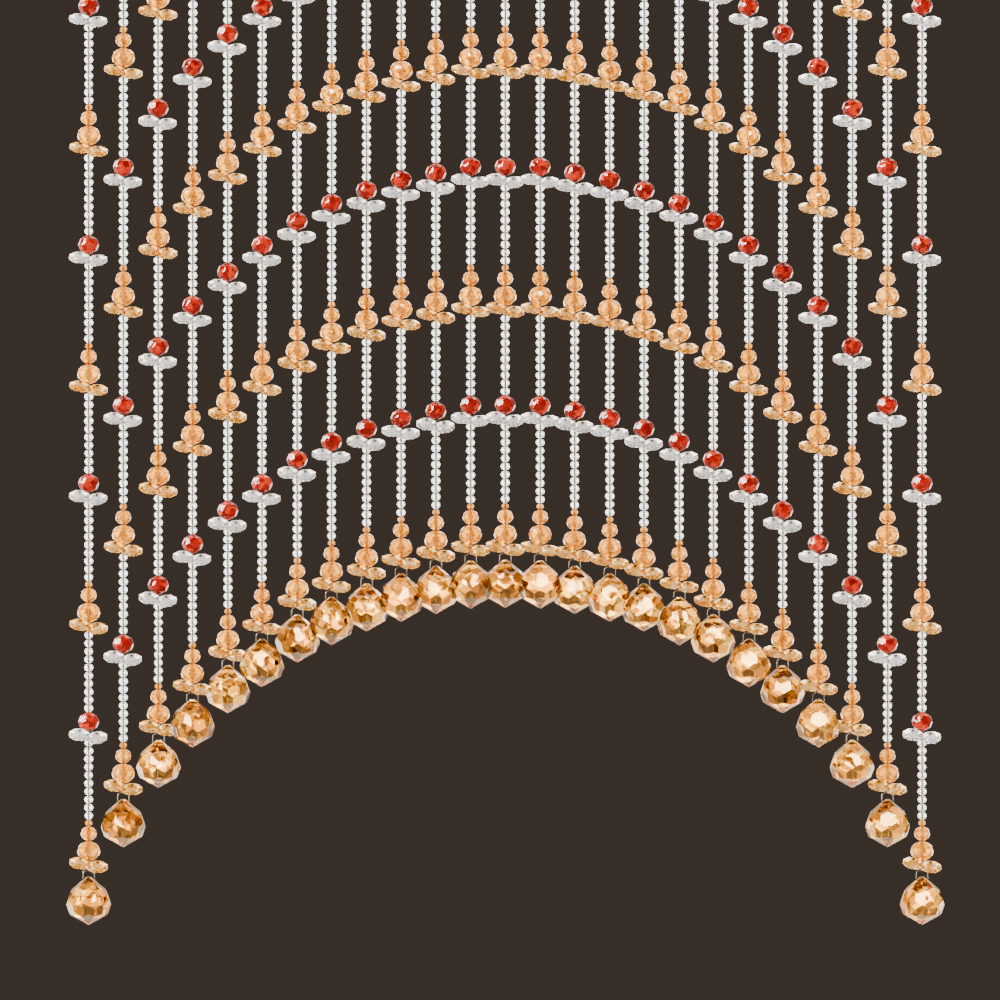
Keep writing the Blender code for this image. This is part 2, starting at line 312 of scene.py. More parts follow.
def make_materials(colours):
    """A material for each kind of glass and bore, the threads, the nickelled wire and the ribbon."""
    found = {}
    clear = tuple(colours.clear)
    lilac = mixed(clear, linear("#E4DCFA"), 0.6)
    green = mixed(clear, linear("#DFF2E0"), 0.6)
    # Lead-free crystal, pressed and fire polished: colourless, with a faint lilac or green drift
    clear_tints = [(0.35, lilac), (0.5, clear), (0.65, green)]
    found["clear"] = glass(
        "crystal_glass_pressed",
        clear_tints,
        patch=6 * MM,
        roughness=(0.02, 0.09),
        transmission=0.9,
        shine=(0.5, WHITE),
    )
    # The discs are pressed from a slightly milky melt, and read as white rims round a grey table
    found["clear_disc"] = glass(
        "crystal_glass_disc_pressed",
        [(at, mixed(tint, linear(WHITE), 0.75)) for at, tint in clear_tints],
        patch=7 * MM,
        roughness=(0.02, 0.08),
        transmission=0.82,
        shine=(0.6, WHITE),
    )
    amber = tuple(colours.amber)
    tan = mixed(amber, linear("#A86410"), 0.7)
    cream = mixed(amber, linear("#FFC860"), 0.7)
    # Champagne soda glass, pressed: a little milky, so it keeps its peach colour in every light, with a thin
    # coat that reflects gold
    found["amber"] = glass(
        "champagne_glass_pressed",
        [(0.32, tan), (0.5, amber), (0.66, cream)],
        patch=6 * MM,
        roughness=(0.03, 0.12),
        transmission=0.72,
        shine=(0.25, "#FFDCA8"),
    )
    found["amber_disc"] = glass(
        "champagne_glass_disc_pressed",
        [(0.36, amber), (0.5, cream), (0.64, linear("#FFE0A0"))],
        patch=7 * MM,
        roughness=(0.02, 0.1),
        transmission=0.8,
        shine=(0.35, "#FFE2B4"),
    )
    ball = tuple(colours.ball)
    # Amber crystal, ground and polished on the wheel: clear and deep, with painted flashes of light and
    # shade, cells from cognac to champagne where one facet shows another, and a thin coat that reflects gold
    found["ball"] = glass(
        "amber_crystal_ground",
        [
            (0.3, linear("#62400E")),
            (0.4, linear("#B4843A")),
            (0.5, ball),
            (0.6, linear("#FFD67A")),
            (0.7, linear("#FFEDB4")),
        ],
        patch=11 * MM,
        roughness=(0.0, 0.03),
        transmission=1.0,
        shine=(0.35, "#FFCB80"),
        painted_flashes=True,
    )
    # The colour lies all through the crystal, so a long way through a ball shows cognac
    tree = found["ball"].node_tree
    depth = add_node(
        tree,
        "ShaderNodeVolumeAbsorption",
        inputs={"Color": (*linear("#F7DB14"), 1.0), "Density": 58.0},
    )
    tree.links.new(depth.outputs["Volume"], tree.nodes["Material Output"].inputs["Volume"])
    red = tuple(colours.red)
    # Selenium ruby glass, pressed and cut: saturated, with dark and fiery facets painted as cells of deeper
    # and brighter red, the light and shade of the cut. Its shine is kept low, so that the studio's white
    # doesn't wash the red out
    found["red"] = glass(
        "ruby_glass_cut",
        [(0.3, scaled(red, 0.65)), (0.45, red), (0.6, linear("#8E0C04")), (0.72, linear("#AC2609"))],
        patch=5 * MM,
        roughness=(0.0, 0.04),
        transmission=0.08,
        shine=(0.05, "#FFE6E2"),
        painted_flashes=True,
    )
    # A drilled bore stays ground, and its near-black colour is painted shade, so that the hole looks dark
    # inside bright glass
    found["bore"] = bore_material("drilled_glass_bore_painted_shade", tuple(colours.bore))
    # The narrow bore of a pressed bead is frosted, and is painted grey as the shade of the bead's core
    found["core"] = bore_material("pressed_glass_bore_painted_shade", tuple(colours.core))
    found["thread"] = thread_material("nylon_thread_twisted", tuple(colours.thread))
    found["wire"] = wire_material(tuple(colours.wire))
    found["tape"] = tape_material(tuple(colours.tape))
    found["stitch"] = thread_material("polyester_sewing_thread", scaled(tuple(colours.tape), 0.85))
    return found


def bore_material(name, rgb):
    """The wall of a hole in glass: rough and dull, speckled with grit, and darkened as painted shade for the
    inside of the hole.
    """
    made, tree, shader = plain_material(
        name, {"Roughness": 0.8, "IOR": GLASS_IOR, "Specular IOR Level": 0.1}
    )
    place = add_node(tree, "ShaderNodeTexCoord")
    # Drilling leaves grit marks of about half a millimetre
    grit = add_node(
        tree,
        "ShaderNodeTexNoise",
        inputs={"Vector": place.outputs["Object"], "Scale": 1 / (0.5 * MM), "Detail": 3.0},
    )
    ramp = add_node(tree, "ShaderNodeValToRGB", inputs={"Fac": grit.outputs["Fac"]})
    set_ramp(ramp, [(0.3, scaled(rgb, 0.5)), (0.7, rgb)])
    tree.links.new(ramp.outputs["Color"], shader.inputs["Base Color"])
    return made


def thread_material(name, rgb):
    """Twisted thread: satin, with the slanted light and dark of its three plies painted as bands of shade."""
    made, tree, shader = plain_material(name, {"Roughness": 0.55, "Sheen Weight": 0.2})
    place = add_node(tree, "ShaderNodeTexCoord")
    turn = add_node(
        tree,
        "ShaderNodeMapping",
        inputs={"Vector": place.outputs["Object"], "Rotation": (0.0, math.radians(35), 0.0)},
    )
    # The plies of a 0.8 mm thread are 0.6 mm apart, drawn at 1.2 mm so that they show
    ply_shade_bands = add_node(
        tree,
        "ShaderNodeTexWave",
        {"wave_type": "BANDS", "bands_direction": "Z"},
        {"Vector": turn.outputs["Vector"], "Scale": WAVE_PERIOD / (1.2 * MM), "Distortion": 0.6},
    )
    # Painted shade: the grooves between the plies are darkened to 0.6 of the thread's colour
    ramp = add_node(tree, "ShaderNodeValToRGB", inputs={"Fac": ply_shade_bands.outputs["Fac"]})
    set_ramp(ramp, [(0.0, scaled(rgb, 0.6)), (1.0, rgb)])
    tree.links.new(ramp.outputs["Color"], shader.inputs["Base Color"])
    return made


def wire_material(rgb):
    """Nickel-plated steel wire: bright, with faint marks along it from drawing and bending."""
    made, tree, shader = plain_material("nickel_plated_wire", {"Metallic": 1.0})
    place = add_node(tree, "ShaderNodeTexCoord")
    # The marks are about as wide as the wire
    marks = add_node(
        tree,
        "ShaderNodeTexNoise",
        inputs={"Vector": place.outputs["Object"], "Scale": 1 / (0.8 * MM), "Detail": 2.0},
    )
    ramp = add_node(tree, "ShaderNodeValToRGB", inputs={"Fac": marks.outputs["Fac"]})
    set_ramp(ramp, [(0.3, scaled(rgb, 0.8)), (0.7, rgb)])
    tree.links.new(ramp.outputs["Color"], shader.inputs["Base Color"])
    polish = add_node(
        tree,
        "ShaderNodeMapRange",
        inputs={"Value": marks.outputs["Fac"], "To Min": 0.16, "To Max": 0.34},
    )
    tree.links.new(polish.outputs["Result"], shader.inputs["Roughness"])
    return made


def tape_material(rgb):
    """Grosgrain ribbon of woven polyester: matt, with a rib across it for each thick weft, and painted shade
    in the grooves of the weave.
    """
    made, tree, shader = plain_material(
        "grosgrain_ribbon_woven", {"Roughness": 0.8, "Sheen Weight": 0.35}
    )
    place = add_node(tree, "ShaderNodeTexCoord")
    # Wefts lie 1.1 mm apart along the tape
    ribs = add_node(
        tree,
        "ShaderNodeTexWave",
        {"wave_type": "BANDS", "bands_direction": "X"},
        {"Vector": place.outputs["Object"], "Scale": WAVE_PERIOD / (1.1 * MM)},
    )
    # Warp threads of 0.25 mm cross them, drawn at 0.5 mm so that they show
    warp = add_node(
        tree,
        "ShaderNodeTexWave",
        {"wave_type": "BANDS", "bands_direction": "Z"},
        {"Vector": place.outputs["Object"], "Scale": WAVE_PERIOD / (0.5 * MM), "Distortion": 0.4},
    )
    weave = add_node(
        tree,
        "ShaderNodeMath",
        {"operation": "MULTIPLY_ADD"},
        {0: warp.outputs["Fac"], 1: 0.25, 2: ribs.outputs["Fac"]},
    )
    # Dust lies in patches about as wide as the gap between two strings
    soil = add_node(
        tree,
        "ShaderNodeTexNoise",
        inputs={"Vector": place.outputs["Object"], "Scale": 1 / (30 * MM), "Detail": 4.0},
    )
    dust_and_rib_shade = add_node(
        tree,
        "ShaderNodeMath",
        {"operation": "MULTIPLY_ADD"},
        {0: soil.outputs["Fac"], 1: 0.5, 2: weave.outputs["Value"]},
    )
    # Darker in the dust patches, which are real, and in the grooves between ribs and warps, which is painted
    # shade
    ramp = add_node(tree, "ShaderNodeValToRGB", inputs={"Fac": dust_and_rib_shade.outputs["Value"]})
    set_ramp(ramp, [(0.1, scaled(rgb, 0.68)), (0.9, rgb)])
    tree.links.new(ramp.outputs["Color"], shader.inputs["Base Color"])
    bump = add_node(
        tree,
        "ShaderNodeBump",
        inputs={"Height": weave.outputs["Value"], "Strength": 0.5, "Distance": 0.2 * MM},
    )
    tree.links.new(bump.outputs["Normal"], shader.inputs["Normal"])
    return made


# Filled by main() before any piece is made
MATERIALS = {}


# Modelling helpers

HOLE_SIDES = 8
# Facets that lean less than this from each other keep a sharp edge
SHARP_BELOW_DEG = 8


def select_only(*objects):
    """Selects these objects and nothing else, with the first one active."""
    if bpy.context.object and bpy.context.object.mode != "OBJECT":
        bpy.ops.object.mode_set(mode="OBJECT")
    bpy.ops.object.select_all(action="DESELECT")
    for obj in objects:
        obj.select_set(True)
    bpy.context.view_layer.objects.active = objects[0]


def edit(obj):
    """Opens one object in edit mode with all of it selected."""
    select_only(obj)
    bpy.ops.object.mode_set(mode="EDIT")
    bpy.ops.mesh.select_all(action="SELECT")


def pick_faces(obj, wanted):
    """In edit mode, selects just the faces that the test wants."""
    bpy.ops.mesh.select_mode(type="FACE")
    bpy.ops.mesh.select_all(action="DESELECT")
    bpy.ops.object.mode_set(mode="OBJECT")
    for face in obj.data.polygons:
        face.select = wanted(face)
    bpy.ops.object.mode_set(mode="EDIT")


def pick_edges(obj, wanted):
    """In edit mode, selects just the edges whose two ends pass the test."""
    bpy.ops.mesh.select_mode(type="EDGE")
    bpy.ops.mesh.select_all(action="DESELECT")
    bpy.ops.object.mode_set(mode="OBJECT")
    for edge in obj.data.edges:
        ends = [obj.data.vertices[i].co for i in edge.vertices]
        edge.select = wanted(*ends)
    bpy.ops.object.mode_set(mode="EDIT")


def grind(stone, rows, folds, middle=Vector()):
    """Grinds rows of flat facets round a stone, each a plane cut that is filled again."""
    edit(stone)
    for row in rows:
        rise = math.radians(row.looks_up_deg)
        for fold in range(folds):
            angle = 2 * math.pi * (fold + (0.5 if row.turned else 0)) / folds
            level = Vector((math.cos(angle), math.sin(angle), 0)) * math.cos(rise)
            normal = level + Vector((0, 0, math.sin(rise)))
            bpy.ops.mesh.select_all(action="SELECT")
            bpy.ops.mesh.bisect(
                plane_co=middle + normal * row.distance,
                plane_no=normal,
                use_fill=True,
                clear_outer=True,
                threshold=0.001 * MM,
            )
    bpy.ops.object.mode_set(mode="OBJECT")


def drill(stone, radius, place, turn, length):
    """Bores a hole through a stone."""
    bpy.ops.mesh.primitive_cylinder_add(
        vertices=HOLE_SIDES, radius=radius, depth=length, location=place, rotation=turn
    )
    cutter = bpy.context.object
    modifier = stone.modifiers.new("hole", "BOOLEAN")
    modifier.operation = "DIFFERENCE"
    modifier.solver = "EXACT"
    modifier.object = cutter
    select_only(stone)
    bpy.ops.object.modifier_apply(modifier=modifier.name)
    bpy.data.objects.remove(cutter)


def show_bore(stone, key, bore, place, radius):
    """Gives a stone its glass, and the wall of its upright hole at this place the dull, darkened look of a
    bore, painted shade.
    """
    stone.data.materials.append(MATERIALS[key])
    stone.data.materials.append(MATERIALS[bore])
    for face in stone.data.polygons:
        if abs(face.normal.z) < 0.3 and (face.center - place).to_2d().length < radius:
            face.material_index = 1


def soften(stone, width):
    """Takes the sharpness off the edges between facets, as polishing does."""
    modifier = stone.modifiers.new("edges", "BEVEL")
    modifier.width = width
    modifier.segments = 1
    modifier.limit_method = "ANGLE"
    modifier.angle_limit = math.radians(SHARP_BELOW_DEG)
    select_only(stone)
    bpy.ops.object.modifier_apply(modifier=modifier.name)


def resize(stone, scale):
    """Scales the shape itself, so that the object stays unscaled."""
    select_only(stone)
    stone.scale = scale
    bpy.ops.object.transform_apply(location=False, rotation=False, scale=True)


def lay_out(master, name, places):
    """Puts a copy of a piece at each place, joins them into one piece, and drops the first one."""
    copies = []
    for place in places:
        twin = master.copy()
        twin.data = master.data.copy()
        twin.matrix_world = place
        bpy.context.scene.collection.objects.link(twin)
        copies.append(twin)
    bpy.data.objects.remove(master)
    select_only(*copies)
    bpy.ops.object.transform_apply(location=True, rotation=True, scale=True)
    if len(copies) > 1:
        bpy.ops.object.join()
    joined = bpy.context.object
    joined.name = name
    joined.data.name = name
    return joined


def finish_piece(piece, key, slot, *nodes):
    """Gives a piece its material and its body, and hides the solids that it stands for. Its slot is not used.
    """
    if not piece.data.materials:
        piece.data.materials.append(MATERIALS[key])
    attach(piece, "root")
    if nodes:
        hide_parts(*nodes)
    return piece


# Places along the strings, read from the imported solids

BEAD_TILT_DEG = 2


def string_lines():
    """For each string, its length and the frame at its root, whose +Z runs up the string."""
    lines = []
    root_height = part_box("tape_and_strings")[1].z - bpy.context.scene.curtain_sizes.tape_height
    for number in range(1, STRING_COUNT + 1):
        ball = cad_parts[f"ball_{number:02d}"]
        foot = min((vertex.co for vertex in ball.data.vertices), key=lambda co: co.z)
        root = Vector((foot.x, 0, root_height))
        length = (foot - root).length
        lean = math.asin((foot.y - root.y) / length)
        lines.append((length, Matrix.Translation(root) @ Matrix.Rotation(lean, 4, "X")))
    return lines


def ornaments(length):
    """(kind, height of its foot) up one string, gourd and flower in turn, as far as they fit."""
    found = []
    foot = -length + BALL_HEIGHT + RING_DROP
    kinds = (("gourd", GOURD_HEIGHT), ("flower", FLOWER_HEIGHT))
    while True:
        kind, height = kinds[len(found) % 2]
        if foot + height > 0:
            return found
        found.append((kind, foot))
        foot += height + BEADS_IN_RUN * BEAD_HEIGHT


def at_height(line, height):
    """The frame moved this far up its string."""
    return line @ Matrix.Translation((0, 0, height))


def places_of(kind):
    """The frames at the feet of all ornaments of a kind."""
    return [
        at_height(line, foot)
        for length, line in string_lines()
        for found, foot in ornaments(length)
        if found == kind
    ]


def clear_bead_places():
    """The middles of all clear beads, each turned about its thread and tilted a little by chance."""
    chance = random.Random(SEED)
    places = []
    for length, line in string_lines():
        found = ornaments(length)
        tops = [foot + (GOURD_HEIGHT if kind == "gourd" else FLOWER_HEIGHT) for kind, foot in found]
        for top in tops:
            room = BEADS_IN_RUN if top is not tops[-1] else int(-top / BEAD_HEIGHT)
            for bead in range(room):
                height = top + (bead + 0.5) * BEAD_HEIGHT
                turn = Matrix.Rotation(chance.uniform(0, 2 * math.pi), 4, "Z")
                tilt = Matrix.Rotation(math.radians(chance.uniform(-BEAD_TILT_DEG, BEAD_TILT_DEG)), 4, "Y")
                places.append(at_height(line, height) @ tilt @ turn)
    return places


# Pieces

# A clear bead's body is a little lower than its share of the thread, and is rounded at both ends
BEAD_SIDES = 8
BEAD_HALF_HEIGHT = 0.48 * BEAD_HEIGHT
BEAD_ROUNDING = 3.2 * MM


class CURTAIN_OT_clear_beads(bpy.types.Operator):
    """Makes the runs of clear beads between the ornaments"""

    bl_idname = "curtain.clear_beads"
    bl_label = "Clear Beads"

    def execute(self, context):
        sizes = context.scene.curtain_sizes
        bpy.ops.object.select_all(action="DESELECT")
        bpy.ops.mesh.primitive_cylinder_add(
            vertices=BEAD_SIDES, radius=sizes.bead_width / 2, depth=2 * BEAD_HALF_HEIGHT
        )
        bead = context.object
        edit(bead)
        # The level edges are the rims, and what stays flat between them is bored
        pick_edges(bead, lambda a, b: a.z * b.z > 0 and abs(a.z - b.z) < 0.1 * MM)
        bpy.ops.mesh.bevel(offset=BEAD_ROUNDING, segments=2, affect="EDGES")
        pick_faces(bead, lambda face: abs(face.center.z) > 0.98 * BEAD_HALF_HEIGHT)
        table = sizes.bead_width / 2 - BEAD_ROUNDING
        bpy.ops.mesh.inset(thickness=table - sizes.hole_radius)
        bpy.ops.mesh.bridge_edge_loops()
        bpy.ops.object.mode_set(mode="OBJECT")
        select_only(bead)
        bpy.ops.object.shade_smooth_by_angle(angle=math.radians(50))
        show_bore(bead, "clear", "core", Vector(), 1.1 * sizes.hole_radius)
        beads = lay_out(bead, "clear_beads", clear_bead_places())
        finish_piece(beads, "clear", "strings", "tape_and_strings")
        return {"FINISHED"}


BLANK_SIDES = 24


def round_bead(name, width, height, rows, folds, edge):
    """A round bead with flat facets all over and a hole down its middle."""
    bpy.ops.object.select_all(action="DESELECT")
    # The blank is 2 high and wider than the ground bead, which is 2 wide until it is resized
    bpy.ops.mesh.primitive_cylinder_add(vertices=BLANK_SIDES, radius=1.3, depth=2)
    bead = bpy.context.object
    bead.name = name
    grind(bead, rows, folds)
    resize(bead, (width / 2, width / 2, height / 2))
    soften(bead, edge)
    sizes = bpy.context.scene.curtain_sizes
    drill(bead, sizes.hole_radius, (0, 0, 0), (0, 0, 0), 2 * height)
    return bead


# Each amber bead's width as a share of the largest one's, its height, how far it lies above the gourd's foot,
# and how many facets a row has
AmberBead = namedtuple("AmberBead", "name width_share height seat folds")
AMBER_BEADS = (
    AmberBead("amber_large", 1.0, LARGE_HEIGHT, GOURD_SEAT, 12),
    AmberBead("amber_middle", 0.69, MIDDLE_HEIGHT, GOURD_SEAT + LARGE_HEIGHT, 12),
    AmberBead("amber_small", 0.31, SMALL_HEIGHT, GOURD_SEAT + LARGE_HEIGHT + MIDDLE_HEIGHT, 8),
)


class CURTAIN_OT_amber_beads(bpy.types.Operator):
    """Makes the three amber beads of each gourd"""

    bl_idname = "curtain.amber_beads"
    bl_label = "Amber Beads"

    def execute(self, context):
        widest = context.scene.curtain_sizes.amber_width
        for size in AMBER_BEADS:
            width = size.width_share * widest
            bead = round_bead(size.name, width, size.height, AMBER_FACETS, size.folds, AMBER_EDGE)
            middle = size.seat + size.height / 2
            places = [at_height(place, middle) for place in places_of("gourd")]
            finish_piece(lay_out(bead, size.name, places), "amber", "strings", "tape_and_strings")
        return {"FINISHED"}


class CURTAIN_OT_red_beads(bpy.types.Operator):
    """Makes the red bead of each flower"""

    bl_idname = "curtain.red_beads"
    bl_label = "Red Beads"

    def execute(self, context):
        width = context.scene.curtain_sizes.red_width
        bead = round_bead("red_beads", width, RED_HEIGHT, RED_FACETS, RED_FOLDS, RED_EDGE)
        turn = Matrix.Rotation(RED_TURN, 4, "Z")
        middle = FLOWER_SEAT + RED_HEIGHT / 2
        places = [at_height(place, middle) @ turn for place in places_of("flower")]
        finish_piece(lay_out(bead, "red_beads", places), "red", "strings", "tape_and_strings")
        return {"FINISHED"}


# How a disc lies: its ornament and its side, how far its middle is across from the thread, back from it and
# up from the ornament's foot, how far its front is dipped and how far its outer end is raised
Disc = namedtuple("Disc", "kind side across back up dip_deg rise_deg")
DISCS = (
    Disc("flower", -1, 8.23 * MM, -3.17 * MM, 3.74 * MM, 31.9, 3.7),
    Disc("flower", 1, 7.49 * MM, -3.76 * MM, 1.01 * MM, 31.9, 5.5),
    Disc("gourd", -1, 8.01 * MM, -1.45 * MM, 5.70 * MM, 30.2, 8.4),
    Disc("gourd", 1, 7.80 * MM, -0.24 * MM, 2.43 * MM, 30.2, -2.2),
)
DISC_FOLDS = 8
DISC_GIRDLE = 0.9 * MM
DISC_CROWN_DEG = 68
# Shares of half a disc's length: where its corners are cut off, and how far back its open hole lies
DISC_CORNER = 1.025
OPEN_HOLE_BACK = 0.48
OPEN_HOLE_RADIUS = 1.3 * MM


def disc_stone(key, lie):
    """An eight-sided disc with a flat table on both sides, a hole for its thread and an open one."""
    sizes = bpy.context.scene.curtain_sizes
    reach = sizes.disc_length / 2
    slope = math.radians(DISC_CROWN_DEG)
    crown = reach * math.cos(slope) + DISC_GIRDLE / 2 * math.sin(slope)
    bpy.ops.object.select_all(action="DESELECT")
    bpy.ops.mesh.primitive_cylinder_add(
        vertices=2 * DISC_FOLDS, radius=1.2 * reach, depth=sizes.disc_thickness
    )
    stone = bpy.context.object
    rows = (
        FacetRow(0, reach, False),
        FacetRow(0, DISC_CORNER * reach, True),
        FacetRow(DISC_CROWN_DEG, crown, False),
        FacetRow(-DISC_CROWN_DEG, crown, False),
    )
    grind(stone, rows, DISC_FOLDS)
    soften(stone, DISC_EDGE)
    # The thread stays upright while the disc dips, so its hole slants through the disc
    thread = lie.inverted()
    along = thread.col[2].to_3d()
    inside = thread.translation - along * (thread.translation.z / along.z)
    slant = along.to_track_quat("Z", "Y").to_euler()
    through = 4 * sizes.disc_thickness
    drill(stone, sizes.hole_radius, inside, slant, through)
    open_hole = Vector((0, OPEN_HOLE_BACK * reach, 0))
    drill(stone, OPEN_HOLE_RADIUS, open_hole, (0, 0, 0), through)
    show_bore(stone, key, "bore", open_hole, OPEN_HOLE_RADIUS)
    return stone


class CURTAIN_OT_discs(bpy.types.Operator):
    """Makes the pair of discs under each gourd and flower"""

    bl_idname = "curtain.discs"
    bl_label = "Discs"

    def execute(self, context):
        for disc in DISCS:
            tone = "amber" if disc.kind == "gourd" else "clear"
            key = f"{tone}_disc"
            lie = (
                Matrix.Translation((disc.side * disc.across, disc.back, disc.up))
                @ Matrix.Rotation(math.radians(disc.dip_deg), 4, "X")
                @ Matrix.Rotation(-disc.side * math.radians(disc.rise_deg), 4, "Y")
            )
            name = f"{tone}_discs_{'left' if disc.side < 0 else 'right'}"
            places = [place @ lie for place in places_of(disc.kind)]
            discs = lay_out(disc_stone(key, lie), name, places)
            finish_piece(discs, key, "strings", "tape_and_strings")
        return {"FINISHED"}


def bent_line(name, points, radius, closed=False):
    """A round thread or wire along a line of points, as a mesh."""
    curve = bpy.data.curves.new(name, "CURVE")
    curve.dimensions = "3D"
    curve.bevel_depth = radius
    curve.bevel_resolution = 1
    curve.use_fill_caps = not closed
    spline = curve.splines.new("POLY")
    spline.points.add(len(points) - 1)
    for point, place in zip(spline.points, points):
        point.co = (*place, 1)
    spline.use_cyclic_u = closed
    line = bpy.data.objects.new(name, curve)
    bpy.context.scene.collection.objects.link(line)
    select_only(line)
    bpy.ops.object.convert(target="MESH")
    bpy.ops.object.shade_smooth_by_angle(angle=math.radians(60))
    return bpy.context.object


# A thread is sewn this share of the tape's height into it
SEWN_SHARE = 0.6
# Its loop starts above the ring's bar, goes round it with a little play, and ends in a knot of two turns
LOOP_TOP = 2.6 * MM
LOOP_PLAY = 0.05 * MM
LOOP_FROM_DEG = 50
LOOP_TURN_DEG = 280
LOOP_STEPS = 12
KNOT_FOOT = 1.6 * MM
KNOT_HEIGHT = 1.6 * MM
KNOT_TURN_DEG = 720
KNOT_STEPS = 16
# How far the knot lies out from the thread's middle, in half thicknesses of it
KNOT_REACH = 1.9


class CURTAIN_OT_threads(bpy.types.Operator):
    """Makes the threads, each tied in a loop round the wire ring at its foot"""

    bl_idname = "curtain.threads"
    bl_label = "Threads"

    def execute(self, context):
        sizes = context.scene.curtain_sizes
        threads = []
        around = RING_WIRE_RADIUS + sizes.thread_radius + LOOP_PLAY
        for number, (_, line) in enumerate(string_lines(), start=1):
            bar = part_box(f"ring_{number:02d}")[1].z - WIRE_RADIUS
            bar_height = (bar - line.translation.z) / math.cos(line.to_euler().x)
            points = [
                Vector((0, 0, SEWN_SHARE * sizes.tape_height)),
                Vector((0, 0, bar_height + LOOP_TOP)),
            ]
            for step in range(LOOP_STEPS + 1):
                turn = math.radians(LOOP_FROM_DEG - LOOP_TURN_DEG * step / LOOP_STEPS)
                points.append(Vector((0, -math.cos(turn) * around, bar_height + math.sin(turn) * around)))
            # The end goes back up and twice round the thread
            for step in range(KNOT_STEPS + 1):
                turn = math.radians(90 + KNOT_TURN_DEG * step / KNOT_STEPS)
                reach = KNOT_REACH * sizes.thread_radius
                height = bar_height + KNOT_FOOT + KNOT_HEIGHT * step / KNOT_STEPS
                points.append(Vector((math.cos(turn) * reach, math.sin(turn) * reach, height)))
            thread = bent_line(f"thread_{number:02d}", points, sizes.thread_radius)
            thread.matrix_world = line
            threads.append(thread)
        select_only(*threads)
        bpy.ops.object.transform_apply(location=True, rotation=True, scale=True)
        bpy.ops.object.join()
        joined = context.object
        joined.name = "threads"
        finish_piece(joined, "thread", "strings", "tape_and_strings")
        return {"FINISHED"}


def rounded(corners, radius):
    """A closed outline with each corner turned into a short curve."""
    points = []
    for index, corner in enumerate(corners):
        before = (corners[index - 1] - corner).normalized() * radius
        after = (corners[(index + 1) % len(corners)] - corner).normalized() * radius
        for share in (0, 0.25, 0.5, 0.75, 1):
            points.append(corner + before * (1 - share) ** 2 + after * share ** 2)
    return points


# The corners down one half of a wire ring: how far each is from the middle, and how far it lies above the
# ring's top or its foot
RingCorner = namedtuple("RingCorner", "across up counted_from")
RING_CORNERS = (
    RingCorner(1.9 * MM, 0.0, "top"),
    RingCorner(5.0 * MM, -2.2 * MM, "top"),
    RingCorner(5.2 * MM, 0.7 * MM, "foot"),
    RingCorner(5.0 * MM, 0.0, "foot"),
)
RING_BEND = 0.45 * MM


class CURTAIN_OT_rings(bpy.types.Operator):
    """Makes the bent wire rings that hold the balls"""

    bl_idname = "curtain.rings"
    bl_label = "Wire Rings"

    def execute(self, context):
        for number, (_, line) in enumerate(string_lines(), start=1):
            node = f"ring_{number:02d}"
            low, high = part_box(node)
            lean = line.to_euler().x
            top = (high.z - WIRE_RADIUS - line.translation.z) / math.cos(lean)
            height = (high.z - low.z - 2 * WIRE_RADIUS) / math.cos(lean)
            level = {"top": 0.0, "foot": -height}
            half = [Vector((c.across, 0, c.up + level[c.counted_from])) for c in RING_CORNERS]
            corners = half + [Vector((-p.x, 0, p.z)) for p in reversed(half)]
            points = rounded(corners, RING_BEND)
            ring = bent_line(f"wire_ring_{number:02d}", points, RING_WIRE_RADIUS, closed=True)
            ring.matrix_world = at_height(line, top)
            bpy.ops.object.transform_apply(location=True, rotation=True, scale=True)
            finish_piece(ring, "wire", "wire", node)
        return {"FINISHED"}


BALL_HOLE_RADIUS = 0.95 * MM
BALL_HOLE_BELOW_TIP = 2.4 * MM


class CURTAIN_OT_balls(bpy.types.Operator):
    """Makes the faceted balls at the feet of the strings"""

    bl_idname = "curtain.balls"
    bl_label = "Faceted Balls"

    def execute(self, context):
        bpy.ops.object.select_all(action="DESELECT")
        # The blank is wider than the ground ball, and its upper end is the ball's flat tip
        bpy.ops.mesh.primitive_cylinder_add(
            vertices=BLANK_SIDES,
            radius=1.4 * BALL_RADIUS,
            depth=BALL_HEIGHT,
            location=(0, 0, -BALL_HEIGHT / 2),
        )
        ball = context.object
        bpy.ops.object.transform_apply(location=True, rotation=False, scale=False)
        grind(ball, BALL_FACETS, BALL_FOLDS, Vector((0, 0, BALL_RADIUS - BALL_HEIGHT)))
        soften(ball, BALL_EDGE)
        hole = (0, 0, -BALL_HOLE_BELOW_TIP)
        drill(ball, BALL_HOLE_RADIUS, hole, (0, math.pi / 2, 0), 2 * BALL_RADIUS)
        for number, (length, line) in enumerate(string_lines(), start=1):
            twin = ball.copy()
            twin.data = ball.data.copy()
            twin.name = f"glass_ball_{number:02d}"
            context.scene.collection.objects.link(twin)
            twin.matrix_world = at_height(line, BALL_HEIGHT - length)
            select_only(twin)
            bpy.ops.object.transform_apply(location=True, rotation=True, scale=True)
            finish_piece(twin, "ball", "amber_ball", f"ball_{number:02d}")
        bpy.data.objects.remove(ball)
        return {"FINISHED"}


TAPE_MARGIN = 13 * MM
TAPE_HALF_THICKNESS = 1.3 * MM
CLOTH = 0.5 * MM
# The leaves of the tape wave a little, more towards their lower edges
TAPE_WAVE = 37 * MM
TAPE_LOOSENESS = 0.12 * MM
SEAM_UP = 3.5 * MM
STITCH_PITCH = 3.3 * MM
STITCH_SIZE = (1.7 * MM, 0.42 * MM, 0.45 * MM)
STITCH_END = 0.45 * MM
STITCH_DIP = 0.28 * MM
STITCH_EDGE = 0.1 * MM


